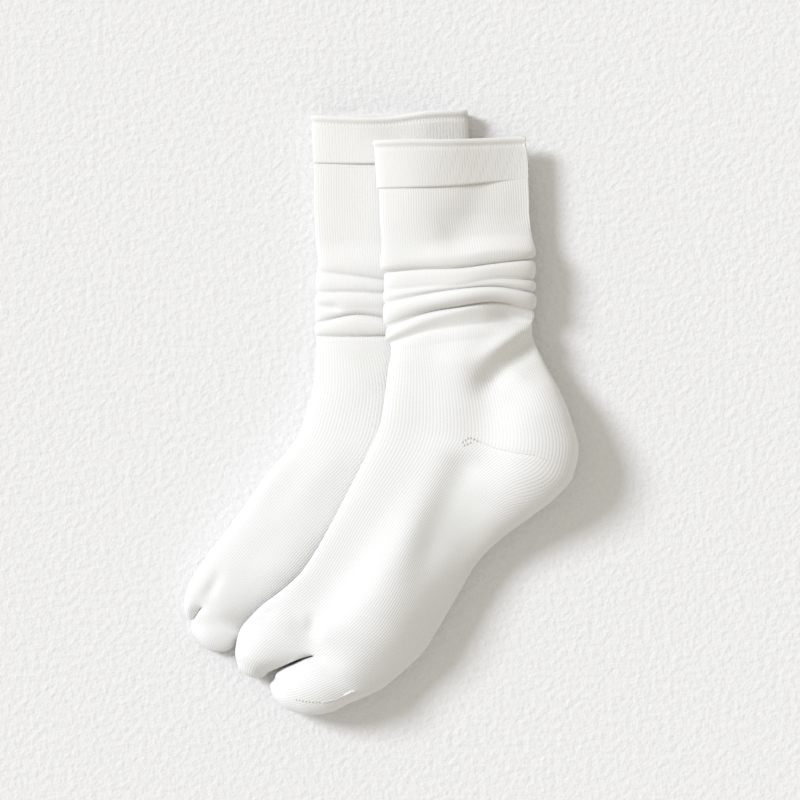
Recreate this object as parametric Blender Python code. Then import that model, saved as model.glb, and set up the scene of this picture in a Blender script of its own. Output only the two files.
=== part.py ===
"""A pair of split-toe ankle socks lying flat, the right sock across the left one.

The scene is in metres and the tables are in millimetres. X runs across the legs, Y from the toes up
to the cuffs, and Z up from the surface that the socks lie on. Each sock is one knitted tube, with
slouched folds at the ankle and two toe pockets, and a separate ribbed cuff. All are hollow and open
at the top, and the right sock bridges from the left one down to the surface.
"""
from collections import namedtuple
from math import cos, pi, sin

import bmesh
import bpy
import numpy as np
from mathutils import Vector
from mathutils.bvhtree import BVHTree

MM = 0.001

# Cloth
SOCK_WALL = 1.5
CUFF_WALL = 2.4
SEAM_GAP = 0.3          # between a cuff and its sock
LAYER_GAP = 1.6         # between the right sock and the left sock under it
CUFF_PROUD = 0.5        # how far a cuff stands out from its leg
RIM_TILT = 0.2          # room for the rims, which aren't quite square to Y

# Density of the mesh
HALF_STEPS = 14         # steps across the upper side of a section, and as many below
CLEFT_STEPS = 4         # steps down the inner side of a toe pocket, between the pockets

# Shape of a section
TOP_ROUND = 0.72        # 1 is an ellipse, less is a flatter top with rounder shoulders
UNDER_SPREAD = 1.5      # how soon the underside reaches the surface below
POLE_STEP = 3           # between the points that hold the upper sock's cloth up
REACH = 4               # how far round each such point the cloth stays at its height
EDGE_RISE = 4           # least height of a section's edge above what lies below it
SAG = 0.8               # the steepest fall of the underside where it bridges down
CORNER = pi / 4         # where a toe pocket's outer side meets its inner side
TOE_ROUND = 0.9

# A section of the tube. left and right are its two edges (x, y); bow moves the upper side along Y at
# a quarter, half and three quarters of the way across; edges and crest are heights, at the two
# edges and at a quarter, half and three quarters; lift holds the underside off the surface.
Section = namedtuple("Section", "name left right bow edges crest lift")

# A section of a toe pocket: its edge away from the cleft, its edge at the cleft, its top, its
# underside.
Toe = namedtuple("Toe", "outer inner top under")

# A toe pocket: its sections from the root on, and its closed tip (x, y, z).
Pocket = namedtuple("Pocket", "sections tip")

RIGHT_LEG = [
    Section("leg", (0, 114.6), (89.4, 120.6), (0, 0, 0), (24, 18), (33.5, 30, 27), 10.5),
    Section("leg foot", (1.2, 99), (90.9, 105), (-0.3, 0, 0.6), (24, 18), (33.5, 31, 28), 9.5),
    Section("roll crest", (-0.2, 87), (93.2, 95), (1.2, 0.6, 1.8), (24, 19), (34.8, 36, 35), 9),
    Section("roll crease", (3.2, 84), (90.2, 92.1), (-0.2, -1.6, -0.7), (22, 17), (30.5, 31, 30), 8.5),
    Section("fold a crest", (2.2, 78.6), (93.6, 86.4), (0.6, 0, 1.5), (23, 18), (33.5, 34.8, 34), 8),
    Section("fold a crease", (2.8, 73.2), (91.2, 79.8), (0.2, 0.6, 1.9), (22, 17), (31.8, 34, 31), 7.5),
    Section("fold b crest", (1.7, 69.6), (93.6, 76.2), (1.6, 2.7, 3.2), (23, 18), (33.5, 33.8, 33), 7),
    Section("fold b crease", (3.2, 65.7), (91.2, 72.3), (3.5, 5.1, 4.9), (22, 17), (31.3, 32.2, 30.5), 6.5),
    Section("fold c crest", (1.6, 59.4), (94, 67.8), (3.9, 6.3, 6.3), (23, 18), (34.5, 36, 34.5), 6),
    Section("fold c crease", (4.5, 51.3), (91.8, 61.8), (5.6, 7, 7), (22, 17), (30, 28.5, 26), 5),
    Section("fold d crest", (3.2, 45.6), (92.7, 58.2), (5.4, 6.6, 6.6), (23, 17), (33.5, 31.5, 25), 5),
    Section("fold d crease", (6.2, 41.4), (91.8, 55.2), (3.3, 2.4, 1.8), (22, 17), (30, 29.5, 25), 5),
]
RIGHT_FOOT = [
    Section("ankle top", (6.6, 37.2), (91.2, 50.4), (1.6, 0.9, 0.7), (24, 18), (34.5, 36, 34), 4),
    Section("ankle", (5.1, 27.6), (99, 29.4), (0, 0, 0), (24, 18), (35, 37.5, 34), 3),
    Section("ankle low", (3.9, 17.4), (108, 12.6), (0, 0, 0), (24, 18), (35, 38.5, 38), 2),
    Section("heel top", (2.4, 6), (114.6, -4.2), (0, 0, 0), (24, 19), (35, 39, 41.5), 0),
    Section("heel gore", (0, -6.6), (118.8, -21.6), (0, 0, 0), (24, 19), (35, 39.5, 42.5), 0),
    Section("heel turn", (-3.6, -16.2), (115.8, -37.2), (0, 0, 0), (24, 19), (35.5, 40, 42), 0),
    Section("heel low", (-8.4, -25.8), (106.2, -49.8), (0, 0, 0), (24, 18), (36, 40.5, 40.5), 0),
    Section("heel sole", (-13.8, -36.6), (88.8, -63.6), (0, 0, 0), (24, 17), (35.5, 40.5, 36.5), 0),
    Section("arch", (-20.4, -49.2), (72, -76.2), (0, 0, 0), (24, 17), (35, 40.5, 33), 0),
    Section("waist", (-28.2, -64.2), (58.8, -89.4), (0, 0, 0), (24, 17), (34, 40.5, 32.5), 0),
    Section("instep", (-37.2, -80.4), (47.4, -108), (0, 0, 0), (23, 17), (33.5, 41, 33), 0),
    Section("ball", (-47.4, -95.4), (36.6, -126.6), (0, 0, 0), (23, 17), (33, 41, 34.5), 0),
    Section("ball front", (-58.2, -105.6), (26.4, -142.8), (0, 0, 0), (22, 17), (33, 38.5, 35.5), 0),
    Section("toe root", (-70.2, -114.6), (15, -154.2), (0, 0, 0), (21, 17), (33, 34, 35.5), 0),
    Section("toe split", (-79.8, -123.6), (3, -165), (0, 0, 0), (19, 17), (32, 28, 35.5), 0),
]
RIGHT_FOUR_TOES = Pocket([
    Toe((-84, -129.6), (-47, -145.2), 32, 2),
    Toe((-86.4, -138.8), (-55.6, -149), 30, 1),
    Toe((-87.2, -145.8), (-62.8, -153.5), 27, 0),
    Toe((-85, -152), (-69, -156.8), 21.5, 1),
], (-77.4, -159.2, 10.5))
RIGHT_BIG_TOE = Pocket([
    Toe((-7.8, -169.8), (-44.4, -146.9), 36, 0),
    Toe((-18, -174), (-51, -150.5), 35, 0),
    Toe((-31.2, -180), (-57.6, -153.9), 33, 0),
    Toe((-44.4, -181.4), (-63, -157.6), 28.5, 0),
    Toe((-54.4, -178.4), (-64.6, -162), 22, 2),
], (-64.8, -170.8, 11))

LEFT_LEG = [
    Section("leg", (-39.9, 130.8), (54.3, 133.8), (0, 0, 0), (8, 7), (15, 14, 12.5), 0),
    Section("leg foot", (-38.7, 103.8), (54.9, 103.8), (0, 0, 0), (8, 7), (15.5, 14.5, 12.5), 0),
    Section("roll crest", (-37.5, 90.6), (56.4, 89.4), (-2.1, -4.2, -5.1), (9, 7), (18.5, 17, 13.5), 0),
    Section("roll crease", (-37.9, 85.4), (54.6, 78), (-1.1, -2.5, -1.8), (8, 6), (14.5, 13, 11.5), 0),
    Section("fold a crest", (-39, 78.6), (56.4, 73.8), (0, -0.6, -1.2), (9, 7), (18, 16.5, 13.5), 0),
    Section("fold a crease", (-38, 72.6), (54.6, 69), (1.1, 0.6, -0.3), (8, 6), (14, 12.5, 11.5), 0),
    Section("fold b crest", (-39, 67.2), (56.4, 64.2), (1.3, 0.3, -0.8), (9, 7), (18.5, 17, 13.5), 0),
    Section("fold b dip", (-39.3, 60.6), (55.8, 60), (2.5, 1.5, -0.1), (9, 7), (17.5, 16, 13), 0),
    Section("fold b crease", (-38.5, 54), (54.6, 54.6), (5.1, 2.4, 0.7), (8, 6), (14, 12.5, 11.5), 0),
    Section("fold c crest", (-39.6, 50.1), (56.4, 50.4), (2.6, 1.4, 0.1), (9, 7), (18.5, 16.5, 13.5), 0),
    Section("fold c crease", (-38.4, 46.2), (54.6, 46.8), (-0.2, 0, 0.1), (8, 6), (14.5, 12.5, 11.5), 0),
]
LEFT_FOOT = [
    Section("ankle top", (-38.4, 42), (56.4, 42), (0, 0, 0), (9, 7), (18.5, 16, 13), 0),
    Section("ankle", (-39, 31.8), (64.2, 34.2), (0, 0, 0), (10, 7), (20, 16.5, 12.5), 0),
    Section("ankle low", (-40.2, 16.8), (73.8, 19.2), (0, 0, 0), (11, 7), (22, 17, 12), 0),
    Section("heel top", (-43.8, 3), (80.4, 4.2), (0, 0, 0), (12, 7), (23, 19, 12), 0),
    Section("heel gore", (-48.6, -11.4), (81.6, -10.2), (0, 0, 0), (12, 7), (24, 19.5, 12), 0),
    Section("heel turn", (-55.2, -22.2), (78.6, -25.2), (0, 0, 0), (13, 7), (25.5, 20, 12), 0),
    Section("heel low", (-63, -30.6), (69.6, -39), (0, 0, 0), (13, 7), (25.5, 20, 12), 0),
    Section("heel sole", (-70.8, -40.2), (52.8, -52.2), (0, 0, 0), (13, 7), (25.5, 20.5, 12), 0),
    Section("arch", (-78, -51), (33.6, -66.6), (0, 0, 0), (13, 7), (25.5, 21, 12), 0),
    Section("waist", (-85.2, -60.6), (19.2, -79.2), (0, 0, 0), (13, 7), (25.5, 21, 12), 0),
    Section("instep", (-92.4, -70.2), (6, -91.8), (0, 0, 0), (13, 7), (25.5, 21, 12), 0),
    Section("ball", (-99.6, -79.8), (-7.2, -105), (0, 0, 0), (13, 7), (24.5, 21.5, 12), 0),
    Section("ball front", (-106.2, -88.8), (-22.2, -116.4), (0, 0, 0), (12, 7), (23.5, 20.5, 12), 0),
    Section("toe root", (-111, -95.4), (-37.2, -125.4), (0, 0, 0), (11, 7), (22.5, 19, 12), 0),
    Section("toes", (-114.9, -102.5), (-52, -129.3), (0.8, 0, 0), (10.5, 7), (21, 18, 12), 0),
    Section("toe split", (-117.8, -110), (-72, -133.6), (0.3, 0, 0), (9.5, 7), (18, 17, 12), 0),
]
LEFT_BIG_TOE = Pocket([
    Toe((-118.8, -114.2), (-109.6, -118.9), 15.2, 0),
    Toe((-118.6, -119), (-111, -122), 13, 0),
], (-115, -124.6, 6.5))
LEFT_FOUR_TOES = Pocket([
    Toe((-79.5, -135.6), (-109.2, -120.2), 17, 0),
    Toe((-85.8, -138.2), (-113, -127.4), 16, 0),
    Toe((-92, -142), (-113, -134), 13.5, 1),
], (-103.6, -143.2, 6.5))

RIGHT_CUFF = [
    Section("rim", (-3.9, 162.3), (88.2, 165.2), (0, -0.6, -0.4), (23, 19), (33.5, 31.5, 28), 13),
    Section("middle", (-2.9, 148.5), (88.6, 152), (-0.4, -0.7, -0.2), (23, 18), (33.5, 31, 27.5), 12.5),
    Section("lower edge", (-1.8, 133.8), (88.9, 139.8), (-1.1, -1.4, -0.3), (23, 18), (33.5, 31, 27.5), 12),
]
LEFT_CUFF = [
    Section("rim", (-41.4, 177.6), (52.2, 180.6), (-2.2, -2.7, -0.4), (9, 10), (16.5, 16, 18.5), 0),
    Section("middle", (-40.9, 164.4), (53.4, 166.2), (-1.5, -1.8, -0.4), (8.5, 8.5), (16, 15.5, 16.5), 0),
    Section("lower edge", (-40.4, 150.2), (54, 151.8), (-0.8, -1, -0.5), (8, 7), (16, 15.5, 14), 0),
]

# Where the cleft starts across the upper side, in steps from the left edge
RIGHT_CLEFT = 7
LEFT_CLEFT = 5


def clear_scene():
    for old in list(bpy.data.objects):
        bpy.data.objects.remove(old, do_unlink=True)


def blend(a, b, share):
    return a + (b - a) * share


def through(values, share):
    """A smooth curve through five values spaced evenly from share 0 to share 1."""
    place = min(share * 4, 3.999)
    start = int(place)
    t = place - start
    a, b = values[start], values[start + 1]
    before = values[start - 1] if start > 0 else 2 * a - b
    after = values[start + 2] if start < 3 else 2 * b - a
    slope_a = (b - before) / 2
    slope_b = (after - a) / 2
    return ((2 * t ** 3 - 3 * t ** 2 + 1) * a + (t ** 3 - 2 * t ** 2 + t) * slope_a
            + (3 * t ** 2 - 2 * t ** 3) * b + (t ** 3 - t ** 2) * slope_b)


def leg_top(cuff_edge):
    """The leg's first section: just below the cuff's lower edge, and a little narrower."""
    inset = CUFF_PROUD
    left, right = cuff_edge.left, cuff_edge.right
    return cuff_edge._replace(
        name="leg top",
        left=(left[0] + inset, left[1] - SEAM_GAP - RIM_TILT),
        right=(right[0] - inset, right[1] - SEAM_GAP - RIM_TILT),
        crest=tuple(height - inset for height in cuff_edge.crest))


def tent_over(*things):
    """A function of (x, y): the height at which cloth clears the given solids.

    The cloth is held up by points all over the solids and falls away from them by SAG, down to 0.
    """
    points = []
    faces = []
    for thing in things:
        start = len(points)
        points += [vertex.co / MM for vertex in thing.data.vertices]
        faces += [[start + i for i in face.vertices] for face in thing.data.polygons]
    tree = BVHTree.FromPolygons(points, faces)
    low_x, high_x = min(point.x for point in points), max(point.x for point in points)
    low_y, high_y = min(point.y for point in points), max(point.y for point in points)
    poles = []
    for x in np.arange(low_x, high_x, POLE_STEP):
        for y in np.arange(low_y, high_y, POLE_STEP):
            hit = tree.ray_cast(Vector((x, y, 500)), Vector((0, 0, -1)))[0]
            if hit:
                poles.append((x, y, hit.z + LAYER_GAP))
    poles = np.array(poles)

    def height(x, y):
        away = np.hypot(poles[:, 0] - x, poles[:, 1] - y)
        return max(0.0, float(np.max(poles[:, 2] - SAG * np.maximum(away - REACH, 0))))

    return height


def bare_surface(x, y):
    return 0.0


def section_ring(section, below):
    """Points round one section: the left edge, over the top, the right edge, and back underneath."""
    bow = (0,) + tuple(section.bow) + (0,)
    crest = (section.crest[0],) + tuple(section.crest) + (section.crest[2],)
    left_edge = max(section.edges[0], below(*section.left) + EDGE_RISE)
    right_edge = max(section.edges[1], below(*section.right) + EDGE_RISE)
    points = []
    for step in range(2 * HALF_STEPS):
        angle = pi * step / HALF_STEPS
        across = (1 - cos(angle)) / 2
        x = blend(section.left[0], section.right[0], across)
        y = blend(section.left[1], section.right[1], across)
        edge = blend(left_edge, right_edge, across)
        if step <= HALF_STEPS:
            rise = sin(angle) ** TOP_ROUND if 0 < step < HALF_STEPS else 0
            y += through(bow, across)
            z = blend(edge, through(crest, across), rise)
        else:
            drop = min(1, UNDER_SPREAD * abs(sin(angle)) ** TOP_ROUND)
            z = blend(edge, max(section.lift, below(x, y)), drop)
        points.append(Vector((x, y, z)))
    return points


def toe_ring(toe, outer_steps, below):
    """Points round a toe pocket, from the cleft corner on top, round the outer side and underneath
    to the cleft corner below, then up the inner side."""
    angles = [CORNER + (2 * pi - 2 * CORNER) * step / (2 * outer_steps)
              for step in range(2 * outer_steps + 1)]
    angles += [-CORNER + 2 * CORNER * step / CLEFT_STEPS for step in range(1, CLEFT_STEPS)]
    points = []
    for angle in angles:
        across = (1 + cos(angle)) / 2
        x = blend(toe.outer[0], toe.inner[0], across)
        y = blend(toe.outer[1], toe.inner[1], across)
        under = max(toe.under, below(x, y))
        middle = blend(under, toe.top, 0.5)
        half = (toe.top - under) / 2
        up = sin(angle)
        z = middle + half * (1 if up > 0 else -1) * abs(up) ** TOE_ROUND
        points.append(Vector((x, y, z)))
    return points


def cleft_wall(top, bottom):
    """Points between the two pockets at their shared root, from below to above."""
    return [bottom.lerp(top, step / CLEFT_STEPS) for step in range(1, CLEFT_STEPS)]


def join_rings(mesh, first, second):
    count = len(first)
    for i in range(count):
        j = (i + 1) % count
        mesh.faces.new((first[i], first[j], second[j], second[i]))


def add_ring(mesh, points):
    return [mesh.verts.new(point * MM) for point in points]


def add_pocket(mesh, root, pocket, outer_steps, below):
    """Carry a toe pocket from its root loop to its closed tip."""
    ring = root
    for toe in pocket.sections:
        new_ring = add_ring(mesh, toe_ring(toe, outer_steps, below))
        join_rings(mesh, ring, new_ring)
        ring = new_ring
    tip = mesh.verts.new(Vector(pocket.tip) * MM)
    for i in range(len(ring)):
        mesh.faces.new((ring[i], ring[(i + 1) % len(ring)], tip))


def finish_object(name, mesh, wall, material):
    """Turn a thin skin into a hollow solid of the given wall, its outside where the skin is."""
    bmesh.ops.recalc_face_normals(mesh, faces=mesh.faces)
    data = bpy.data.meshes.new(name)
    mesh.to_mesh(data)
    mesh.free()
    data.shade_smooth()
    thing = bpy.data.objects.new(name, data)
    bpy.context.scene.collection.objects.link(thing)
    shell = thing.modifiers.new("wall", "SOLIDIFY")
    shell.thickness = wall * MM
    shell.offset = -1
    data.materials.append(material)
    return thing


def make_sock(name, sections, cleft, left_pocket, right_pocket, below, material):
    """The knitted tube from its open top to the tips of its two toe pockets."""
    mesh = bmesh.new()
    ring = None
    for section in sections:
        points = section_ring(section, below)
        new_ring = add_ring(mesh, points)
        if ring:
            join_rings(mesh, ring, new_ring)
        ring = new_ring
    low = 2 * HALF_STEPS - cleft
    inner = add_ring(mesh, cleft_wall(points[cleft], points[low]))
    left_root = ring[cleft::-1] + ring[:low - 1:-1] + inner
    right_root = ring[cleft:low + 1] + inner
    add_pocket(mesh, left_root, left_pocket, cleft, below)
    add_pocket(mesh, right_root, right_pocket, HALF_STEPS - cleft, below)
    return finish_object(name, mesh, SOCK_WALL, material)


def make_cuff(name, sections, below, material):
    mesh = bmesh.new()
    ring = None
    for section in sections:
        new_ring = add_ring(mesh, section_ring(section, below))
        if ring:
            join_rings(mesh, ring, new_ring)
        ring = new_ring
    return finish_object(name, mesh, CUFF_WALL, material)


def cotton(name, roughness):
    material = bpy.data.materials.new(name)
    material.use_nodes = True
    shader = material.node_tree.nodes["Principled BSDF"]
    shader.inputs["Base Color"].default_value = (0.86, 0.85, 0.83, 1)
    shader.inputs["Roughness"].default_value = roughness
    shader.inputs["Metallic"].default_value = 0
    return material


def main():
    clear_scene()
    knit = cotton("white plain knit", 0.9)
    rib = cotton("white rib knit", 0.92)
    left_sock = make_sock("left_sock", [leg_top(LEFT_CUFF[-1])] + LEFT_LEG + LEFT_FOOT, LEFT_CLEFT,
                          LEFT_BIG_TOE, LEFT_FOUR_TOES, bare_surface, knit)
    left_cuff = make_cuff("left_cuff_welt", LEFT_CUFF, bare_surface, rib)
    below = tent_over(left_sock, left_cuff)
    make_sock("right_sock", [leg_top(RIGHT_CUFF[-1])] + RIGHT_LEG + RIGHT_FOOT, RIGHT_CLEFT,
              RIGHT_FOUR_TOES, RIGHT_BIG_TOE, below, knit)
    make_cuff("right_cuff_welt", RIGHT_CUFF, below, rib)


main()
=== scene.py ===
"""Looks of a pair of white split-toe ankle socks lying flat, the right sock across the left one.

The frame is in metres and the tables here are in millimetres, in the frame's own axes: X across the
legs, Y from the toes up to the cuffs, Z up from the surface. Each sock is lofted from a short table
of sections, row by row from its cuff to its toes, with its slouched folds and its two toe pockets,
and gets its wall from a Solidify modifier. The rib cords and the stitches are made by geometry
nodes along guides that lie on the cloth.
"""
from collections import namedtuple
from functools import partial
from math import pi, radians

import bmesh
import bpy
import numpy as np
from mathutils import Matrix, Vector
from mathutils.bvhtree import BVHTree

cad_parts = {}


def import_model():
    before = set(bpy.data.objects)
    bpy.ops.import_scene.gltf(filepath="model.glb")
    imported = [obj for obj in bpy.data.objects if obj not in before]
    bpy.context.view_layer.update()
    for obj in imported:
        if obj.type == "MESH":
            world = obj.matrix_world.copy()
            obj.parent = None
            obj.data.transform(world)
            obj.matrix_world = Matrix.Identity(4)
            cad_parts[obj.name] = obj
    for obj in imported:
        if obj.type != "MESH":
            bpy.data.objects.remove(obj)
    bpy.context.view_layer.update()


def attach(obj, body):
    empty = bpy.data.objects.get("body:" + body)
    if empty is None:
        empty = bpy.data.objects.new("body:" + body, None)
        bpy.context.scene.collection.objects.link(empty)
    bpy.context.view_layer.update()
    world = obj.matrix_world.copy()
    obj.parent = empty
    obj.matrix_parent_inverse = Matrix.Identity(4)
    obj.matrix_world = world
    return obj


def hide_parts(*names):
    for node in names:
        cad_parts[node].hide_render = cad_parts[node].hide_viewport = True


MM = 0.001

# Cloth
SOCK_WALL = 1.3
CUFF_WALL = 2.2
CUFF_PROUD = 0.5        # how far a cuff stands out from its leg at the sides
FURROW = 2.4            # how far the leg is drawn in on top, along the cuff's lower edge
TUCK = 2.5              # how far the leg runs up inside its cuff
LAYER_GAP = 1.0         # between the right sock and the left sock under it

# Knit
RIB_PITCH = 2.0         # from one rib of a cuff to the next
WALE_PITCH = 1.6        # from one wale of the plain knit to the next, on the leg
COURSE_PITCH = 1.15     # from one course to the next
GORE_TURN = 0.9         # how sharply the wales turn below the heel's gore line
GORE_REACH = 17         # over how much of the heel
GORE_START = (-22, 25)  # where the turn comes in, from the start of the gore line
GORE_END = (-22, 12)    # where it goes out, from the end of the gore line
PLAIN_BUMP = 0.17       # depth of the stitches of the plain knit
RIB_BUMP = 0.12         # depth of the stitches of the ribs
LOOP_SHARE = 0.35       # how much of the relief is the loops of a wale, the rest is the wale itself
STITCH_SLANT = 1.1      # how far the two legs of a stitch lean
LEG_ROUND = 206         # length round the leg, the measure of U on every sock
TIGHTEST = 1.18         # how far the wales draw together where the tube narrows, before some end

RIB_RADIUS = 0.75       # of the cord that makes one rib
RIB_SINK = 0.66         # how deep its middle lies in the cloth
RIB_SWAY = 0.1          # how far a rib wanders, as a part of its pitch
RIB_STEP = 1.5          # from one ring of points to the next along a rib
RIM_ROWS = 4            # rows of a cuff above the ends of its ribs

# Height, distance from the rim and half width of a cuff's rolled bead, and of the furrow under it
RIM_BEAD = (0.7, 0.9, 1.5)
RIM_FURROW = (0.4, 3.9, 1.0)

# Density of the mesh
HALF_STEPS = 60         # steps across the upper side of a section, and as many below
CLEFT_STEPS = 20        # steps down the inner side of a toe pocket
ROW_STEP = 1.15         # the measure of the rows of points along the cloth
TUBE_ROWS = 1.3         # rows in each ROW_STEP of a tube
POCKET_ROWS = 1.2       # rows in each ROW_STEP of a toe pocket
TIP_ROWS = 9            # rows that close the round end of a toe pocket
EDGE_TURNS = 6          # steps round a cuff's rim, and round its lower edge
GHOST = 8               # rows before the split that set the slope of the toe pockets
GUIDE_STEP = 0.5        # from one point to the next along a line of stitches
ABOVE = 500             # a height over everything, to look down from

# Softening, in rounds, round the split of the tube and at the ends of the toe pockets
SPLIT_REACH = 13        # how far from the split the cloth is softened
SPLIT_ROUNDS = 26       # rounds at the split, which lessen away from it
CLEFT_AHEAD = 9         # how far past the split the cleft's edges are softened
CLEFT_BACK = 6          # rows before the split, and steps beside the cleft, that are softened too
CLEFT_SIDE = 7          # steps of a toe pocket beside the cleft that are softened
CLEFT_ROUNDS = 6
END_REACH = 16          # how much of a toe pocket's end is softened
END_ROUNDS = 10

# Shape of a section
TOP_ROUND = 0.66        # 1 is an ellipse, less is a flatter top with rounder shoulders
TOE_ROUND = 0.85        # the same for the outer side of a toe pocket
UNDER_SPREAD = 1.5      # how soon the underside reaches the surface below
PUCKER = 1.2            # how far a crease lifts the underside
BRINK_ROUND = 0.05      # how much of a toe pocket's width turns down into the cleft
UNEVEN = 0.35           # height of the cloth's slow unevenness
# Its waves: how fast each turns along X and along Y, and how much of the seed shifts it
WAVES = ((0.11, 0.07, 1), (-0.06, 0.13, 2.1), (0.19, -0.05, 3.7), (0.04, 0.21, 5.3))
PRESSED = (0.35, 0.75)  # the parts of a ring's height between which a dent comes in
FIRST_SWELL = 8         # where the columns that a fold swells start, in a row of section numbers

# How the right sock lies over the left one
POLE_STEP = 3           # between the points that hold the upper sock's cloth up
REACH = 3.5             # how far round each such point the cloth stays at its height
SAG = 0.8               # the steepest fall of the cloth from there
EDGE_RISE = 4           # least height of a section's edge above what lies below it

# A section of the tube. kind is smooth, crest, crease or step; left and right are its two edges
# (x, y); bow moves the upper side along Y at a quarter, half and three quarters of the way across;
# edges and crest are heights, at the two edges and at a quarter, half and three quarters; lift holds
# the underside off the surface; round is the roundness of the right side, as TOP_ROUND is of the
# left; fall lowers the right shoulder.
Section = namedtuple("Section", "kind left right bow edges crest lift round fall", defaults=(0.72, 0))

# A section of a toe pocket: its edge away from the cleft, its edge at the cleft, and the heights of
# its top, of the brink of the cleft and of its underside.
Toe = namedtuple("Toe", "outer inner top brink under")

# A toe pocket: its sections from the root on, and its round tip (x, y, z).
Pocket = namedtuple("Pocket", "sections tip")

# A soft trough (depth over 0) or ridge (depth under 0) along a line across the cloth's upper side.
# width is its half width; it fades out over the first and last parts of the line given by fade.
Dent = namedtuple("Dent", "line width depth fade")

# Colours, light and camera
WHITE = (0.775, 0.775, 0.768, 1)
# the yarn's creamier tone, which also serves as the painted shade in the grooves of the knit
CREAM_AND_GROOVE_SHADE = (0.75, 0.735, 0.695, 1)
# painted shade: the colour of the dark stitches that stand for the shade inside the eyelet holes
SHADE = (0.52, 0.50, 0.47, 1)
CREAM_UP_LEG = 1.5      # how much creamier the yarn gets in each metre up the leg
CREAM_PATCHES = 0.5     # how much of the cream comes in patches
GROOVE_SHADE_SHARE = 0.35    # how much of the cream lies in the grooves of the knit, as painted shade
PATCH_SCALE = 28
FUZZ_SCALE = 1900
THREAD_BUMP = 0.1
FLOOR_BUMP = 0.9
FLOOR_SIZE = 6          # metres
FLOOR_GRAIN = 260
FLOOR_LOW = (0.73, 0.725, 0.72, 1)
FLOOR_HIGH = (0.81, 0.805, 0.80, 1)
SUN_FROM = (-0.72, 0.368, 0.588)
SUN_STRENGTH = 2.95
SUN_COLOUR = (0.87, 0.905, 1.0)
SUN_SOFTNESS = 18       # degrees across
SKY_COLOUR = (1.0, 0.97, 0.885, 1)
SKY_STRENGTH = 0.65
CAMERA_PLACE = (0.012, 0.0078, 1.818)
CAMERA_LENS = 135

RIGHT_LEG = [
    Section("smooth", (0, 114.6), (89.4, 120.6), (0, 0, 0), (28, 17.5), (33.8, 29.3, 23), 10.5, 1.1),
    Section("smooth", (1.2, 102), (90.9, 108), (-0.3, 0, 0.6), (28, 17.5), (33.5, 29.8, 25.5), 9.5, 1.0),
    Section("crest", (-0.2, 88.5), (93.4, 96.5), (1.2, 0.6, 1.8), (25, 19), (35, 36.3, 34.5), 9),
    Section("crease", (3.2, 84), (90.2, 92.1), (-0.2, -1.6, -0.7), (23, 17), (31.2, 32.2, 31), 8.5),
    Section("crest", (2.2, 78.6), (93.6, 86.4), (0.6, 0, 1.5), (23, 18), (33.5, 34.8, 34), 8),
    Section("crease", (2.8, 73.2), (91.2, 79.8), (0.2, 0.6, 1.9), (22, 17), (32.4, 34.3, 32.4), 7.5),
    Section("crest", (1.7, 69.6), (93.6, 76.2), (1.6, 2.7, 3.2), (23, 18), (33.5, 33.8, 33), 7),
    Section("crease", (3.2, 65.7), (91.2, 72.3), (3.5, 5.1, 4.9), (22, 17), (31.3, 32.2, 30.5), 6.5),
    Section("crest", (1.6, 59.4), (94, 67.8), (3.9, 6.3, 6.3), (23, 18), (34.8, 36.2, 34.6), 6),
    Section("crease", (4.5, 51.3), (91.8, 61.8), (5.6, 7, 7), (22, 17), (30.1, 28, 25.6), 5),
    Section("crest", (3.2, 45.6), (92.7, 58.2), (6, 9, 8.4), (23, 17), (33.8, 33, 27.5), 5),
    Section("step", (6.2, 41.4), (91.8, 55.2), (3.3, 3.4, 2.4), (22, 17), (31.4, 30.6, 26.6), 5),
]
RIGHT_FOOT = [
    Section("smooth", (6.6, 36), (91.2, 48.6), (1.2, 0.9, 0.7), (24, 18), (34, 34.6, 33), 4),
    Section("smooth", (5.1, 27.6), (99, 29.4), (0, 0, 0), (24, 18), (35, 38, 34.5), 3, 0.6),
    Section("smooth", (3.9, 17.4), (108, 12.6), (0, 0, 0), (24, 18), (35, 38, 39), 2, 0.5),
    Section("smooth", (2.4, 6), (114.6, -4.2), (0, 0, 0), (24, 19), (35, 39, 43), 0, 0.5),
    Section("smooth", (0, -6.6), (118.8, -21.6), (0, 0, 0), (24, 19), (35, 39.5, 44), 0, 0.5),
    Section("smooth", (-3.6, -16.2), (115.8, -37.2), (0, 0, 0), (24, 19), (35.5, 40, 43.5), 0, 0.55),
    Section("smooth", (-8.4, -25.8), (106.2, -49.8), (0, 0, 0), (24, 18), (36.3, 40, 41.8), 0, 0.6),
    Section("smooth", (-13.8, -36.6), (88.8, -63.6), (0, 0, 0), (24, 17), (36.5, 40, 38.5), 0, 0.7),
    Section("smooth", (-20.4, -49.2), (72, -76.2), (0, 0, 0), (24, 17), (36.5, 40.3, 37.5), 0, 0.9, 1),
    Section("smooth", (-28.2, -64.2), (58.8, -89.4), (0, 0, 0), (24, 17), (35.8, 40.8, 36.8), 0, 1, 3),
    Section("smooth", (-37.2, -80.4), (47.4, -108), (0, 0, 0), (23, 17), (34.5, 41.3, 37.2), 0, 1, 7),
    Section("smooth", (-47.4, -95.4), (36.6, -126.6), (0, 0, 0), (23, 17), (33.3, 41.3, 39), 0, 1, 8.5),
    Section("smooth", (-58.2, -105.6), (26.4, -142.8), (0, 0, 0), (22, 17), (33, 39.8, 39.2), 0, 1, 9),
    Section("smooth", (-70.2, -114.6), (15, -154.2), (0, 0, 0), (21, 17), (33, 36.5, 38), 0, 1, 8),
    Section("smooth", (-79.8, -123.6), (3, -165), (0, 0, 0), (19, 17), (32, 30.5, 38), 0, 0.95, 6),
]
RIGHT_FOUR_TOES = Pocket([
    Toe((-84, -129.6), (-46.2, -146.6), 31.3, 28.5, 2),
    Toe((-86.4, -138.5), (-55.2, -150.4), 30, 25.5, 1),
    Toe((-87.2, -145.5), (-62.8, -154), 27, 20, 0),
    Toe((-86, -150.6), (-67.4, -156.2), 23, 14, 1),
], (-77.6, -159.6, 8.5))
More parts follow.
